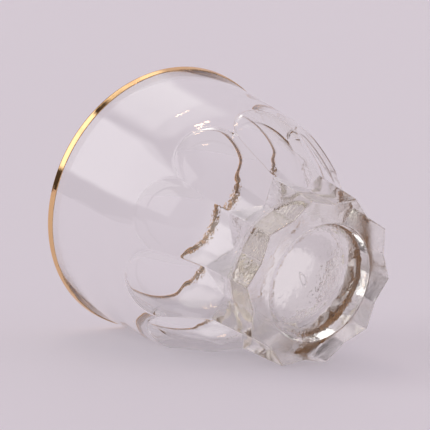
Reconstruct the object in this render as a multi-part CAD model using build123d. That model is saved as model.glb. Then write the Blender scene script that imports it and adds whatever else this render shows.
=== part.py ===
"""Pressed shot glass with ten flat flutes, a ten-pointed foot and a fired gold rim.

Millimetres, +Z up, origin at the centre of the plane the foot stands on.
"""
import math
import os

from build123d import *

os.makedirs("parts", exist_ok=True)

# ---- driving dimensions, profile points as (radius, z) --------------------------
HEIGHT = 49.7            # foot plane to the top of the gilded lip
RIM_RADIUS = 26.0        # outside of the gold at the lip
FLUTES = 10
SECTOR = 360.0 / FLUTES

GOLD_THICK = 0.12
GOLD_DROP = 1.0          # how far the gold runs down the outside
LIP_RADIUS = 0.65        # round of the bare glass lip
RIM_LEAN = math.radians(9.0)

# outside of the blank before the flutes are pressed in
FLARE_START = (25.06, 42.0)
SHOULDER_TOP = (24.4, 31.0)
SHOULDER_LOW = (22.4, 22.4)
BLANK_BASE = (15.1, 1.0)

# centre line of one flute, and how wide its cutter is
FLUTE_LOW = (12.1, 0.6)
FLUTE_MID = (18.5, 16.4)
FLUTE_TOP = (25.7, 30.0)
FLUTE_WIDE = 18.0

# ten-pointed foot: radius of points and notches at its bottom and at its buried top
FOOT_TALL = 12.0
FOOT_BOTTOM = (16.2, 14.6)
FOOT_TOP = (17.13, 15.12)
FOOT_EDGE = 0.35         # break along the bottom edge

# round hollow under the foot
RECESS_RADIUS = 11.1
RECESS_FLAT = 9.4
RECESS_DEEP = 1.2

# corners of the bowl's section below the lip, and how each one is rounded
BOWL_FLOOR = 9.2
BOWL_CORNERS = [(10.2, BOWL_FLOOR), (17.6, 18.1), (22.4, 26.5)]
BOWL_ROUNDS = [4.0, 11.8, 40.0]


def lip_point(along, out):
    """A point near the lip, measured along the leaning wall and out from its middle."""
    centre_r = RIM_RADIUS - GOLD_THICK - LIP_RADIUS
    centre_z = HEIGHT - GOLD_THICK - LIP_RADIUS
    r = centre_r + out * math.cos(RIM_LEAN) + along * math.sin(RIM_LEAN)
    z = centre_z - out * math.sin(RIM_LEAN) + along * math.cos(RIM_LEAN)
    return (r, z)


def blank():
    """Outer shape turned solid, with the lip rounded over."""
    outer_lip = lip_point(0, LIP_RADIUS)
    inner_lip = lip_point(0, -LIP_RADIUS)
    gold_foot = lip_point(-GOLD_DROP, LIP_RADIUS)
    wall = (FLARE_START[0] - SHOULDER_TOP[0], FLARE_START[1] - SHOULDER_TOP[1])
    with BuildSketch(Plane.XZ) as section:
        with BuildLine():
            Polyline((0, inner_lip[1]), (0, BLANK_BASE[1]), BLANK_BASE, SHOULDER_LOW)
            TangentArc(SHOULDER_TOP, SHOULDER_LOW, tangent=(-wall[0], -wall[1]))
            Line(SHOULDER_TOP, FLARE_START)
            TangentArc(FLARE_START, gold_foot, tangent=wall)
            Line(gold_foot, outer_lip)
            ThreePointArc(outer_lip, lip_point(LIP_RADIUS, 0), inner_lip)
            Line(inner_lip, (0, inner_lip[1]))
        make_face()
    return revolve(section.sketch, axis=Axis.Z)


def bowl():
    """The hollow of the bowl, floor to lip."""
    inner_lip = lip_point(0, -LIP_RADIUS)
    with BuildSketch(Plane.XZ) as section:
        with BuildLine():
            FilletPolyline((0, BOWL_FLOOR), *BOWL_CORNERS, inner_lip, radius=BOWL_ROUNDS)
            Polyline(inner_lip, (0, inner_lip[1]), (0, BOWL_FLOOR))
        make_face()
    return revolve(section.sketch, axis=Axis.Z)


def flute_cutter():
    """Slab whose inner face is the gently scooped flat of one flute."""
    outside = RIM_RADIUS * 1.5
    with BuildSketch(Plane.XZ) as side:
        with BuildLine():
            ThreePointArc(FLUTE_LOW, FLUTE_MID, FLUTE_TOP)
            Polyline(FLUTE_TOP, (outside, FLUTE_TOP[1]), (outside, FLUTE_LOW[1]), FLUTE_LOW)
        make_face()
    return extrude(side.sketch, amount=FLUTE_WIDE / 2, both=True)


def star(point, notch):
    """Outline of the foot: ten points with ten shallow notches between."""
    corners = []
    for i in range(2 * FLUTES):
        radius = point if i % 2 == 0 else notch
        bearing = math.radians(i * SECTOR / 2)
        corners.append((radius * math.cos(bearing), radius * math.sin(bearing)))
    return Polygon(*corners, align=None)


def foot():
    """Ten-pointed foot, its notches running out upwards, with the bottom edge broken."""
    point, notch = FOOT_BOTTOM
    bottom = Plane.XY * star(point - FOOT_EDGE, notch - FOOT_EDGE)
    edge = Plane.XY.offset(FOOT_EDGE) * star(point, notch)
    top = Plane.XY.offset(FOOT_TALL) * star(*FOOT_TOP)
    return loft([bottom, edge], ruled=True) + loft([edge, top], ruled=True)


def recess():
    """Shallow round hollow under the foot."""
    below = -1.0
    with BuildSketch(Plane.XZ) as section:
        with BuildLine():
            Polyline((RECESS_FLAT, RECESS_DEEP), (0, RECESS_DEEP), (0, below),
                     (RECESS_RADIUS, below), (RECESS_RADIUS, 0))
            TangentArc((RECESS_FLAT, RECESS_DEEP), (RECESS_RADIUS, 0), tangent=(1, 0))
        make_face()
    return revolve(section.sketch, axis=Axis.Z)


def glass_body():
    body = blank()
    cutter = flute_cutter()
    for i in range(FLUTES):
        body -= Rot(0, 0, (i + 0.5) * SECTOR) * cutter
    body += foot()
    body -= bowl()
    return body - recess()


def gold_band():
    """Thin skin of gold over the lip and down the outside."""
    inner = LIP_RADIUS
    outer = LIP_RADIUS + GOLD_THICK
    with BuildSketch(Plane.XZ) as section:
        with BuildLine():
            Polyline(lip_point(0, inner), lip_point(-GOLD_DROP, inner),
                     lip_point(-GOLD_DROP, outer), lip_point(0, outer))
            ThreePointArc(lip_point(0, outer), lip_point(outer, 0), lip_point(0, -outer))
            Line(lip_point(0, -outer), lip_point(0, -inner))
            ThreePointArc(lip_point(0, -inner), lip_point(inner, 0), lip_point(0, inner))
        make_face()
    return revolve(section.sketch, axis=Axis.Z)


export_step(glass_body(), "parts/pressed_glass_body.step")
export_step(gold_band(), "parts/gold_rim_band.step")
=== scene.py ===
"""A pressed shot glass with a gilded rim, lying on a pale table in soft studio light.

Lengths in the shape section are millimetres in the row frame, and MM turns them into metres.
"""
import math

import bpy
import numpy as np
from mathutils import Matrix, Vector


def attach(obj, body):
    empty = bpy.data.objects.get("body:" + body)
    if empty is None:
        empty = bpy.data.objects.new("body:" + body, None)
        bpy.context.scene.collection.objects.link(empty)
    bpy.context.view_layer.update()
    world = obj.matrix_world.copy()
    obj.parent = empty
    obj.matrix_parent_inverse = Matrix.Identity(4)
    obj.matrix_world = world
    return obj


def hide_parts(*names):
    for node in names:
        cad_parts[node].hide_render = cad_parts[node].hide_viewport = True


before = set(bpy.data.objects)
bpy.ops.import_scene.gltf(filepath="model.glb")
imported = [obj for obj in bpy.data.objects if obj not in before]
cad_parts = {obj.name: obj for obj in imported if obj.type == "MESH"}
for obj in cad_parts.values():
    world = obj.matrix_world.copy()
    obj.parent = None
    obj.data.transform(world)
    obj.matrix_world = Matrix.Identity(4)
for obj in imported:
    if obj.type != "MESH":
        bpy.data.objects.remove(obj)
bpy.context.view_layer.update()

MM = 0.001

# ---- shape of the glass, as in the CAD model; profile points are (radius, z) ----
HEIGHT = 49.7
RIM_RADIUS = 26.0
FLUTES = 10
HALF_SECTOR = math.pi / FLUTES

GOLD_THICK = 0.12
GOLD_DROP = 1.0
GOLD_BED = 0.02          # how far the gold sinks into the glass it is fired on
LIP_RADIUS = 0.65
RIM_LEAN = math.radians(9.0)

FLARE_START = (25.06, 42.0)
SHOULDER_TOP = (24.4, 31.0)
SHOULDER_LOW = (22.4, 22.4)
BLANK_BASE = (15.1, 1.0)
FLUTE = [(12.1, 0.6), (18.5, 16.4), (25.7, 30.0)]

FOOT_TALL = 12.0
FOOT_BOTTOM = (16.2, 14.6)
FOOT_TOP = (17.13, 15.12)
FOOT_EDGE = 0.35

RECESS_RADIUS = 11.1
RECESS_FLAT = 9.4
RECESS_DEEP = 1.2

BOWL_FLOOR = 9.2
BOWL_CORNERS = [(10.2, BOWL_FLOOR), (17.6, 18.1), (22.4, 26.5)]
BOWL_ROUNDS = [4.0, 11.8, 40.0]

# pressed glass has no sharp edge: blend widths where two faces meet
SOFT_ARCH = 0.05
SOFT_RIDGE = 0.08
SOFT_POINT = 0.12
SOFT_NOTCH = 0.06
SOFT_WAIST = 0.08

EDGE_BEAD = 0.13         # how far the crisp line round a flute stands proud
EDGE_WIDE = 0.07         # gap between flute and wall over which that line fades
MARK_DEPTH = 0.03        # of the waves that the plunger leaves low in the bowl


def unit(vector):
    return np.array(vector, float) / np.hypot(*vector)


def tangent_arc(start, end, way, count):
    """Points of the circular arc that leaves start along way and reaches end."""
    start, end, way = np.array(start, float), np.array(end, float), unit(way)
    chord = end - start
    side = np.array([-way[1], way[0]])
    radius = chord @ chord / (2 * (chord @ side))
    turn = 2 * math.atan2(chord @ side, chord @ way)
    angle = np.linspace(0, turn, count)[:, None]
    return start + radius * (np.sin(angle) * way + (1 - np.cos(angle)) * side)


def rounded(corners, rounds, count):
    """Points along a run of straight lines whose inner corners are rounded off."""
    corners = [np.array(c, float) for c in corners]
    points = [corners[0]]
    for before, corner, after, radius in zip(corners, corners[1:], corners[2:], rounds):
        back, on = unit(before - corner), unit(after - corner)
        cut = radius / math.tan(math.acos(back @ on) / 2)
        points += list(tangent_arc(corner + back * cut, corner + on * cut, -back, count))
    return np.array(points + [corners[-1]])


def closing_up(points, count):
    """The same outline as count points that lie closer together towards its end."""
    points = np.array(points, float)
    along = np.concatenate([[0], np.cumsum(np.hypot(*np.diff(points, axis=0).T))])
    at = along[-1] * (1 - (1 - np.linspace(0, 1, count)) ** 1.3)
    return np.stack([np.interp(at, along, points[:, k]) for k in (0, 1)], axis=1)


def ramp(value, start, end):
    """0 at start and 1 at end, eased at both."""
    t = np.clip((value - start) / (end - start), 0, 1)
    return t * t * (3 - 2 * t)


def circle_through(points):
    """Centre and radius of the circle through three points."""
    a, b, c = (np.array(p, float) for p in points)
    centre = np.linalg.solve(2 * np.array([b - a, c - a]), [b @ b - a @ a, c @ c - a @ a])
    return centre, np.hypot(*(a - centre))


def lip_point(along, out):
    """A point near the lip, measured along the leaning wall and out from its middle."""
    centre_r = RIM_RADIUS - GOLD_THICK - LIP_RADIUS
    centre_z = HEIGHT - GOLD_THICK - LIP_RADIUS
    r = centre_r + out * math.cos(RIM_LEAN) + along * math.sin(RIM_LEAN)
    z = centre_z - out * math.sin(RIM_LEAN) + along * math.cos(RIM_LEAN)
    return (r, z)


def lip_arc(radius, count):
    """Over the lip from its outside to its inside."""
    return [lip_point(radius * math.sin(a), radius * math.cos(a))
            for a in np.linspace(0, math.pi, count)]


GOLD_FOOT = lip_point(-GOLD_DROP, LIP_RADIUS)
INNER_LIP = lip_point(0, -LIP_RADIUS)


def blank_outline():
    """Outside of the glass before the flutes, from its base up to the gold."""
    wall = unit(np.subtract(FLARE_START, SHOULDER_TOP))
    shoulder = tangent_arc(SHOULDER_TOP, SHOULDER_LOW, -wall, 200)[::-1]
    flare = tangent_arc(FLARE_START, GOLD_FOOT, wall, 100)
    return np.concatenate([[BLANK_BASE], shoulder, flare])


BLANK_CURVE = blank_outline()
FLUTE_CENTRE, FLUTE_RADIUS = circle_through(FLUTE)


def lower(a, b, soft):
    """The smaller of two values, blended where they are close."""
    h = np.maximum(soft - np.abs(a - b), 0) / soft
    return np.minimum(a, b) - h * h * soft / 4


def higher(a, b, soft):
    """The larger of two values, blended where they are close."""
    return -lower(-a, -b, soft)


def blank_radius(z):
    """Radius of the outside before the flutes, at height z."""
    return np.interp(z, BLANK_CURVE[:, 1], BLANK_CURVE[:, 0])


def flute_distance(z):
    """Distance from the axis to the middle of a flute, at height z."""
    reach = np.minimum(np.abs(z - FLUTE_CENTRE[1]), FLUTE_RADIUS * 0.999)
    return FLUTE_CENTRE[0] - np.sqrt(FLUTE_RADIUS ** 2 - reach ** 2)


def flute_radius(turn, z):
    """Radius of the fluted surface; turn is the angle from the middle of a flute."""
    near = flute_distance(z) / np.cos(turn)
    far = flute_distance(z) / np.cos(2 * HALF_SECTOR - np.abs(turn))
    return lower(near, far, SOFT_RIDGE)


def foot_radius(turn, z):
    """Radius of the ten-pointed foot; turn is the angle from the middle of a notch."""
    rise = (z - FOOT_EDGE) / (FOOT_TALL - FOOT_EDGE)
    point = FOOT_BOTTOM[0] + rise * (FOOT_TOP[0] - FOOT_BOTTOM[0])
    notch = FOOT_BOTTOM[1] + rise * (FOOT_TOP[1] - FOOT_BOTTOM[1])
    lean = np.arctan2(notch - point * math.cos(HALF_SECTOR), point * math.sin(HALF_SECTOR))

    def facet(angle):
        return notch * np.cos(lean) / np.cos(angle - lean)

    a = np.abs(turn)
    return lower(higher(facet(a), facet(-a), SOFT_NOTCH), facet(2 * HALF_SECTOR - a), SOFT_POINT)


def crossing(turn, first, second, low, high):
    """Height at which two radius functions meet, for each turn."""
    low = np.full_like(turn, low)
    high = np.full_like(turn, high)
    for _ in range(40):
        middle = (low + high) / 2
        above = first(turn, middle) > second(turn, middle)
        high = np.where(above, middle, high)
        low = np.where(above, low, middle)
    return (low + high) / 2


# ---- meshes -------------------------------------------------------------------
def soft_steps(count, ends=0.6):
    """Steps from 0 to 1 that bunch up towards both ends."""
    t = np.linspace(0, 1, count)
    return (1 - ends) * t + ends * (1 - np.cos(math.pi * t)) / 2


def sector_turns():
    """Angles across one flute, closer together by its two ridges and its middle."""
    half = HALF_SECTOR * soft_steps(15, 0.75)
    return np.concatenate([half - HALF_SECTOR, half[1:-1]])


def turned_mesh(name, rows, turns):
    """A closed mesh from rings of (radius, z) arrays, closed by a point at each end."""
    count = len(turns)
    points = [(0, 0, rows[0][1][0])]
    for radius, z in rows:
        points += zip(radius * np.cos(turns), radius * np.sin(turns), z)
    points.append((0, 0, rows[-1][1][0]))
    last = len(points) - 1
    faces = [(0, 1 + (j + 1) % count, 1 + j) for j in range(count)]
    for i in range(len(rows) - 1):
        a = 1 + i * count
        b = a + count
        faces += [(a + j, a + (j + 1) % count, b + (j + 1) % count, b + j) for j in range(count)]
    a = 1 + (len(rows) - 1) * count
    faces += [(last, a + j, a + (j + 1) % count) for j in range(count)]
    return mesh_object(name, np.array(points) * MM, faces)


def mesh_object(name, points, faces):
    """A smooth-shaded object in the scene, from points in metres."""
    mesh = bpy.data.meshes.new(name)
    mesh.from_pydata([tuple(p) for p in points], [], faces)
    mesh.shade_smooth()
    mesh.update()
    piece = bpy.data.objects.new(name, mesh)
    bpy.context.scene.collection.objects.link(piece)
    return piece


def plunger_marks(around, radius, z):
    """Unevenness of the chilled skin low in the bowl, in mm."""
    low = 1 - ramp(z, 13.0, 20.0)
    waves = (np.sin(9 * around + 1.9 * z) + np.sin(17 * around - 1.1 * z + 1.0)
             + np.sin(31 * around + 2.7 * z + 2.0) + np.sin(3 * around + 4.3 * radius))
    return MARK_DEPTH * low * waves / 4


def glass_rows(turn, around):
    """Rings from the middle of the underside, up the outside and down into the bowl."""
    flat = np.ones_like(turn)
    rows = [(r * flat, RECESS_DEEP * flat) for r in np.linspace(1.2, RECESS_FLAT, 8)]
    wall = tangent_arc((RECESS_FLAT, RECESS_DEEP), (RECESS_RADIUS, 0), (1, 0), 12)
    rows += [(r * flat, z * flat) for r, z in wall[1:]]

    bottom = foot_radius(turn, FOOT_EDGE * flat) - FOOT_EDGE
    for t in soft_steps(14)[1:]:
        rows.append((RECESS_RADIUS + t * (bottom - RECESS_RADIUS), 0 * turn))
    for a in np.linspace(0, math.pi / 2, 5)[1:]:
        z = FOOT_EDGE * (1 - math.cos(a)) * flat
        edge = foot_radius(turn, FOOT_EDGE * flat)
        rows.append((bottom + (edge - bottom) * math.sin(a), z))

    waist = crossing(turn, flute_radius, foot_radius, 3.0, FOOT_TALL)
    arch = crossing(turn, flute_radius, lambda t, z: blank_radius(z), 18.0, 30.0)

    def outside(z):
        flute, blank = flute_radius(turn, z), blank_radius(z)
        bead = EDGE_BEAD * np.exp(-((flute - blank) / EDGE_WIDE) ** 2)
        bowl_side = lower(flute, blank, SOFT_ARCH) + bead
        return higher(bowl_side, foot_radius(turn, z), SOFT_WAIST)

    spans = [(FOOT_EDGE * flat, waist, 22), (waist, arch, 44), (arch, GOLD_FOOT[1] * flat, 40)]
    for start, end, count in spans:
        for t in soft_steps(count, 0.85)[1:]:
            z = start + t * (end - start)
            rows.append((outside(z), z))

    rows += [(r * flat, z * flat) for r, z in lip_arc(LIP_RADIUS, 17)]
    bowl = rounded([INNER_LIP] + BOWL_CORNERS[::-1] + [(1.0, BOWL_FLOOR)], BOWL_ROUNDS[::-1], 60)
    for r, z in closing_up(bowl, 170)[1:]:
        marks = plunger_marks(around, r, z) * ramp(r, 1.0, 6.0)
        rows.append((r + 0.6 * marks, z + 0.8 * marks))
    return rows


def build_glass():
    """The whole glass as one closed mesh."""
    one = sector_turns()
    turn = np.tile(one, FLUTES)
    turns = np.concatenate([one + (2 * k + 1) * HALF_SECTOR for k in range(FLUTES)])
    return turned_mesh("glass", glass_rows(turn, turns), turns)


def build_gold():
    """Closed skin of gold over the lip and down the outside."""
    bed = LIP_RADIUS - GOLD_BED
    top = LIP_RADIUS + GOLD_THICK
    outer = [lip_point(-GOLD_DROP * t, top) for t in np.linspace(1, 0, 8)[:-1]] + lip_arc(top, 17)
    inner = [lip_point(-GOLD_DROP * t, bed) for t in np.linspace(1, 0, 8)[:-1]] + lip_arc(bed, 17)
    ring = outer + inner[::-1]
    turns = np.linspace(0, 2 * math.pi, 361)[:-1]
    points = [(r * math.cos(a), r * math.sin(a), z) for a in turns for r, z in ring]
    count = len(ring)
    faces = []
    for i in range(len(turns)):
        a = i * count
        b = (i + 1) % len(turns) * count
        faces += [(a + j, b + j, b + (j + 1) % count, a + (j + 1) % count) for j in range(count)]
    piece = mesh_object("gold_rim", np.array(points) * MM, faces)
    piece.data.materials.append(gold_material())
    # the side against the glass gets a duller copy of the gold, with brown painted shade
    piece.data.materials.append(gold_back_material())
    for index, polygon in enumerate(piece.data.polygons):
        polygon.material_index = int(index % count >= len(outer))
    return piece


# ---- materials ------------------------------------------------------------------
CLEAR_IOR = 1.51
TINT_COLOUR = (0.80, 0.76, 0.66)     # seen only where the glass is thick
TINT_DENSITY = 22.0

# relief of the glass surface, in mm
WORN_GRAIN = 0.05
CHILL_GRAIN = 0.03
FOOT_GRAIN = 0.02
COVE_GRAIN = 0.12
FOOT_RIPPLE = 0.05
UNDER_RIPPLE = 0.03
WALL_SWAY = 0.05
SHEAR_LINE = 0.08

SHEAR_MIDDLE = (-2.95, -0.4)         # the shear mark is a little oval loop
SHEAR_REACH = (1.45, 0.5)
SHEAR_TURN = math.radians(54)

GOLD_BRIGHT = (0.92, 0.60, 0.30)
GOLD_THIN = (0.80, 0.47, 0.24)
BACK_CLEAN = (0.96, 0.68, 0.40)
# brown painted shade on the gold's glass side, standing in for a dark reflected room
BACK_PAINTED_SHADE = (0.46, 0.33, 0.22)


def new_material(name):
    material = bpy.data.materials.new(name)
    material.use_nodes = True
    tree = material.node_tree
    return material, tree, tree.nodes["Principled BSDF"], tree.nodes["Material Output"]


def calc(tree, operation, *values):
    """A math node; each value is a number or the socket it comes from."""
    node = tree.nodes.new("ShaderNodeMath")
    node.operation = operation
    for socket, value in zip(node.inputs, values):
        if isinstance(value, bpy.types.NodeSocket):
            tree.links.new(value, socket)
        else:
            socket.default_value = value
    return node.outputs[0]


def smooth(tree, value, start, end):
    """0 at start and 1 at end, with an even ramp between."""
    node = tree.nodes.new("ShaderNodeMapRange")
    node.interpolation_type = "SMOOTHSTEP"
    node.inputs["From Min"].default_value = start
    node.inputs["From Max"].default_value = end
    tree.links.new(value, node.inputs["Value"])
    return node.outputs[0]


def along(tree, direction, axis):
    """How far a direction goes along an axis."""
    node = tree.nodes.new("ShaderNodeVectorMath")
    node.operation = "DOT_PRODUCT"
    tree.links.new(direction, node.inputs[0])
    node.inputs[1].default_value = axis
    return node.outputs["Value"]


def blend_colour(tree, mask, first, second):
    """First colour where the mask is 0, second where it is 1; each a tuple or a socket."""
    node = tree.nodes.new("ShaderNodeMix")
    node.data_type = "RGBA"
    tree.links.new(mask, node.inputs["Factor"])
    for socket, value in ((node.inputs["A"], first), (node.inputs["B"], second)):
        if isinstance(value, bpy.types.NodeSocket):
            tree.links.new(value, socket)
        else:
            socket.default_value = (*value, 1)
    return node.outputs["Result"]


def noise(tree, place, scale, detail=3.0):
    """Even noise from 0 to 1; scale is in waves to the metre."""
    node = tree.nodes.new("ShaderNodeTexNoise")
    node.inputs["Scale"].default_value = scale
    node.inputs["Detail"].default_value = detail
    tree.links.new(place, node.inputs["Vector"])
    return node.outputs["Fac"]


def total(tree, *values):
    result = values[0]
    for value in values[1:]:
        result = calc(tree, "ADD", result, value)
    return result


def product(tree, *values):
    result = values[0]
    for value in values[1:]:
        result = calc(tree, "MULTIPLY", result, value)
    return result


def bump(tree, shader, height):
    """Relief on a surface; height is in mm."""
    node = tree.nodes.new("ShaderNodeBump")
    node.inputs["Strength"].default_value = 1.0
    node.inputs["Distance"].default_value = MM
    tree.links.new(height, node.inputs["Height"])
    tree.links.new(node.outputs["Normal"], shader.inputs["Normal"])


def shear_mark(tree, place):
    """1 along the little loop that the cut of the gob leaves under the bowl."""
    node = tree.nodes.new("ShaderNodeMapping")
    node.vector_type = "TEXTURE"
    node.inputs["Location"].default_value = Vector((*SHEAR_MIDDLE, RECESS_DEEP)) * MM
    node.inputs["Rotation"].default_value = (0, 0, SHEAR_TURN)
    node.inputs["Scale"].default_value = Vector((*SHEAR_REACH, 1)) * MM
    tree.links.new(place, node.inputs["Vector"])
    length = tree.nodes.new("ShaderNodeVectorMath")
    length.operation = "LENGTH"
    tree.links.new(node.outputs["Vector"], length.inputs[0])
    off = calc(tree, "ABSOLUTE", calc(tree, "SUBTRACT", length.outputs["Value"], 1.0))
    return smooth(tree, off, 0.3, 0.0)


def glass_material():
    """Fire-polished glass: ground dull where it stands, wavy where the plunger chilled it."""
    material, tree, shader, output = new_material("pressed_glass")
    shader.inputs["Base Color"].default_value = (1.0, 1.0, 1.0, 1)
    shader.inputs["Transmission Weight"].default_value = 1.0
    shader.inputs["IOR"].default_value = CLEAR_IOR

    place = tree.nodes.new("ShaderNodeTexCoord").outputs["Object"]
    split = tree.nodes.new("ShaderNodeSeparateXYZ")
    tree.links.new(place, split.inputs["Vector"])
    x, y, z = split.outputs
    radius = calc(tree, "SQRT", total(tree, product(tree, x, x), product(tree, y, y)))

    standing = smooth(tree, z, 0.5 * MM, 0.1 * MM)
    worn = product(tree, standing, smooth(tree, noise(tree, place, 260.0), 0.38, 0.62))
    chilled = product(tree, smooth(tree, z, 6 * MM, 9 * MM), smooth(tree, z, 19 * MM, 14 * MM),
                      smooth(tree, radius, 16.5 * MM, 15.8 * MM))
    under = smooth(tree, z, 1.6 * MM, 1.3 * MM)
    cove = product(tree, under, smooth(tree, radius, 9.0 * MM, 9.8 * MM),
                   smooth(tree, radius, 11.4 * MM, 11.0 * MM))
    foot = smooth(tree, z, 11 * MM, 8 * MM)
    smears = smooth(tree, noise(tree, place, 90.0, 5.0), 0.5, 0.8)

    grain = noise(tree, place, 5200.0, 2.0)
    skin = noise(tree, place, 1500.0, 2.0)
    ripples = noise(tree, place, 420.0, 2.0)
    sway = noise(tree, place, 110.0, 1.0)
    height = total(tree, product(tree, grain, worn, WORN_GRAIN),
                   product(tree, skin, chilled, CHILL_GRAIN),
                   product(tree, skin, foot, FOOT_GRAIN), product(tree, skin, cove, COVE_GRAIN),
                   product(tree, ripples, foot, FOOT_RIPPLE),
                   product(tree, ripples, under, UNDER_RIPPLE), product(tree, sway, WALL_SWAY),
                   product(tree, shear_mark(tree, place), SHEAR_LINE))
    bump(tree, shader, height)
    rough = total(tree, product(tree, worn, 0.22), product(tree, smears, 0.012))
    tree.links.new(rough, shader.inputs["Roughness"])

    tint = tree.nodes.new("ShaderNodeVolumeAbsorption")
    tint.inputs["Color"].default_value = (*TINT_COLOUR, 1)
    tint.inputs["Density"].default_value = TINT_DENSITY
    tree.links.new(tint.outputs["Volume"], output.inputs["Volume"])
    return material


def gold_material():
    """Bright fired gold, thin and scuffed in places."""
    material, tree, shader, output = new_material("fired_gold")
    place = tree.nodes.new("ShaderNodeTexCoord").outputs["Object"]
    scuffs = smooth(tree, noise(tree, place, 700.0, 5.0), 0.45, 0.75)
    thin = smooth(tree, noise(tree, place, 240.0, 4.0), 0.52, 0.72)
    colour = blend_colour(tree, thin, GOLD_BRIGHT, GOLD_THIN)
    tree.links.new(colour, shader.inputs["Base Color"])
    shader.inputs["Metallic"].default_value = 1.0
    rough = total(tree, product(tree, scuffs, 0.16), 0.05)
    tree.links.new(rough, shader.inputs["Roughness"])
    bump(tree, shader, product(tree, noise(tree, place, 2600.0), 0.004))
    return material


def gold_back_material():
    """The same film from the glass side: duller, with brown patches of painted shade that stand
    in for the dark room reflected in the gold's back.
    """
    material, tree, shader, output = new_material("gold_from_glass_side")
    place = tree.nodes.new("ShaderNodeTexCoord").outputs["Object"]
    # patches of painted shade: where this mask is 1 the gold's back turns brown, as if it
    # reflected a dark room
    painted_shade = smooth(tree, noise(tree, place, 500.0, 4.0), 0.35, 0.7)
    colour = blend_colour(tree, painted_shade, BACK_CLEAN, BACK_PAINTED_SHADE)
    tree.links.new(colour, shader.inputs["Base Color"])
    shader.inputs["Metallic"].default_value = 0.8
    tree.links.new(total(tree, product(tree, painted_shade, 0.2), 0.22), shader.inputs["Roughness"])
    return material


# ---- set --------------------------------------------------------------------------
CAMERA_AZIMUTH = math.radians(-65.6)
CAMERA_ELEVATION = math.radians(-49.1)
CAMERA_ROLL = math.radians(-61.5)
CAMERA_DISTANCE = 0.4597
CAMERA_LENS = 209.3
AIM = Vector((-3.24, -3.38, 28.6)) * MM
CAMERA_OUT = Vector((math.sin(CAMERA_AZIMUTH) * math.cos(CAMERA_ELEVATION),
                     -math.cos(CAMERA_AZIMUTH) * math.cos(CAMERA_ELEVATION),
                     math.sin(CAMERA_ELEVATION)))

# the table touches the rim and two points of the foot, so its plane comes from the glass
REST_RIM = Vector((0, RIM_RADIUS, HEIGHT)) * MM
REST_FOOT = Vector((0, FOOT_BOTTOM[0] * math.cos(HALF_SECTOR), 0)) * MM
TABLE_SIDE = Vector((1, 0, 0))
TABLE_LONG = (REST_RIM - REST_FOOT).normalized()
TABLE_UP = TABLE_SIDE.cross(TABLE_LONG)
TABLE_REACH = 3.0
TABLE_GAP = 0.0002
AWAY = (CAMERA_OUT.dot(TABLE_UP) * TABLE_UP - CAMERA_OUT).normalized()
RIGHT = AWAY.cross(TABLE_UP)

TABLE_COLOUR = (0.487, 0.469, 0.509)
TABLE_GLOW = 0.44
BACKDROP = (0.651, 0.584, 0.638)
ROOM = (0.42, 0.38, 0.39)
ROOM_DARK = (0.07, 0.055, 0.05)
# windows in the sky: (bearing, lift, half width, half height, softness) in degrees
DARK_WALL = (-84, 30, 44, 40, 4)
SOFT_BOXES = [((-95, 32, 34, 19, 2), (1.75, 1.70, 1.70)),
              ((-32, 58, 19, 9, 4), (1.40, 1.36, 1.34))]
LAMPS = [((-37, 70, 1.3, 1.1, 0.5), (20, 14, 9)),
         ((-30, 71, 1.3, 1.1, 0.5), (20, 14, 9)),
         ((-18, 70, 1.3, 1.1, 0.5), (16, 11, 7))]

LIGHT_BOUNCES = 48       # enough for the gold's light to get down the wall into the foot


def build_table():
    """The table the glass lies on, a hair below it."""
    centre = (REST_RIM + REST_FOOT) / 2 - TABLE_GAP * TABLE_UP
    corners = [centre + TABLE_REACH * (a * TABLE_SIDE + b * TABLE_LONG)
               for a, b in ((-1, -1), (1, -1), (1, 1), (-1, 1))]
    table = mesh_object("floor", corners, [(0, 1, 2, 3)])
    material, tree, shader, output = new_material("table")
    shader.inputs["Base Color"].default_value = (*TABLE_COLOUR, 1)
    shader.inputs["Roughness"].default_value = 0.6
    shader.inputs["Specular IOR Level"].default_value = 0.1
    shader.inputs["Emission Color"].default_value = (*BACKDROP, 1)
    shader.inputs["Emission Strength"].default_value = TABLE_GLOW
    one_sided(tree, shader, output)
    table.data.materials.append(material)


def one_sided(tree, shader, output):
    """The table shows only from the side the glass lies on."""
    side = tree.nodes.new("ShaderNodeNewGeometry")
    clear = tree.nodes.new("ShaderNodeBsdfTransparent")
    mix = tree.nodes.new("ShaderNodeMixShader")
    tree.links.new(side.outputs["Backfacing"], mix.inputs["Fac"])
    tree.links.new(shader.outputs["BSDF"], mix.inputs[1])
    tree.links.new(clear.outputs["BSDF"], mix.inputs[2])
    tree.links.new(mix.outputs["Shader"], output.inputs["Surface"])


def heading(bearing, lift):
    """Direction in the studio: bearing clockwise from the camera's line, lift above the table."""
    bearing, lift = math.radians(bearing), math.radians(lift)
    level = math.cos(bearing) * AWAY + math.sin(bearing) * RIGHT
    return math.cos(lift) * level + math.sin(lift) * TABLE_UP


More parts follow.
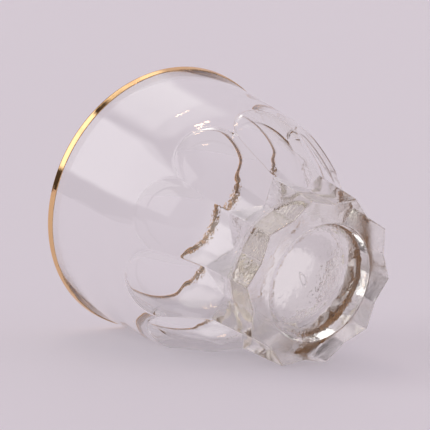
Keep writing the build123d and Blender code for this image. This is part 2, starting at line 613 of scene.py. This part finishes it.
def window(tree, direction, bearing, lift, wide, tall, soft):
    """1 inside a rectangle of sky, in degrees either side of its middle, 0 outside."""
    middle = heading(bearing, lift)
    side = heading(bearing + 90, 0)
    over = side.cross(middle)
    depth = calc(tree, "MAXIMUM", along(tree, direction, middle), 0.001)
    mask = smooth(tree, depth, 0.02, 0.1)
    for axis, reach in ((side, wide), (over, tall)):
        off = calc(tree, "ABSOLUTE", calc(tree, "DIVIDE", along(tree, direction, axis), depth))
        outer = math.tan(math.radians(reach + soft))
        inner = math.tan(math.radians(reach - soft))
        mask = product(tree, mask, smooth(tree, off, outer, inner))
    return mask


def build_world():
    """A pale backdrop, a dimmer room behind the camera, a dark wall, soft boxes and lamps."""
    world = bpy.data.worlds.new("studio")
    bpy.context.scene.world = world
    world.use_nodes = True
    tree = world.node_tree
    direction = tree.nodes.new("ShaderNodeTexCoord").outputs["Generated"]
    room = smooth(tree, along(tree, direction, heading(180, 5)), 0.05, 0.5)
    colour = blend_colour(tree, room, BACKDROP, ROOM)
    colour = blend_colour(tree, window(tree, direction, *DARK_WALL), colour, ROOM_DARK)
    for place, light in SOFT_BOXES + LAMPS:
        colour = blend_colour(tree, window(tree, direction, *place), colour, light)
    tree.links.new(colour, tree.nodes["Background"].inputs["Color"])


def build_camera():
    """A long lens on the foot side of the glass, a little above the table."""
    data = bpy.data.cameras.new("camera")
    data.sensor_width = 36
    data.lens = CAMERA_LENS
    camera = bpy.data.objects.new("camera", data)
    bpy.context.scene.collection.objects.link(camera)
    turn = (-CAMERA_OUT).to_track_quat("-Z", "Y").to_matrix().to_4x4()
    camera.matrix_world = (Matrix.Translation(AIM + CAMERA_OUT * CAMERA_DISTANCE) @ turn
                           @ Matrix.Rotation(CAMERA_ROLL, 4, "Z"))
    bpy.context.scene.camera = camera


def allow_long_light_paths():
    """The gold shows in the foot by light that bounces all the way down inside the wall."""
    cycles = bpy.context.scene.cycles
    cycles.max_bounces = LIGHT_BOUNCES
    cycles.glossy_bounces = LIGHT_BOUNCES
    cycles.transmission_bounces = LIGHT_BOUNCES


# ---- assembly ---------------------------------------------------------------------
glass = build_glass()
glass.data.materials.append(glass_material())
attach(glass, "root")
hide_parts("pressed_glass_body")

gold = build_gold()
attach(gold, "root")
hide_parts("gold_rim_band")

build_table()
build_world()
build_camera()
bpy.context.scene.view_settings.view_transform = "Standard"
allow_long_light_paths()
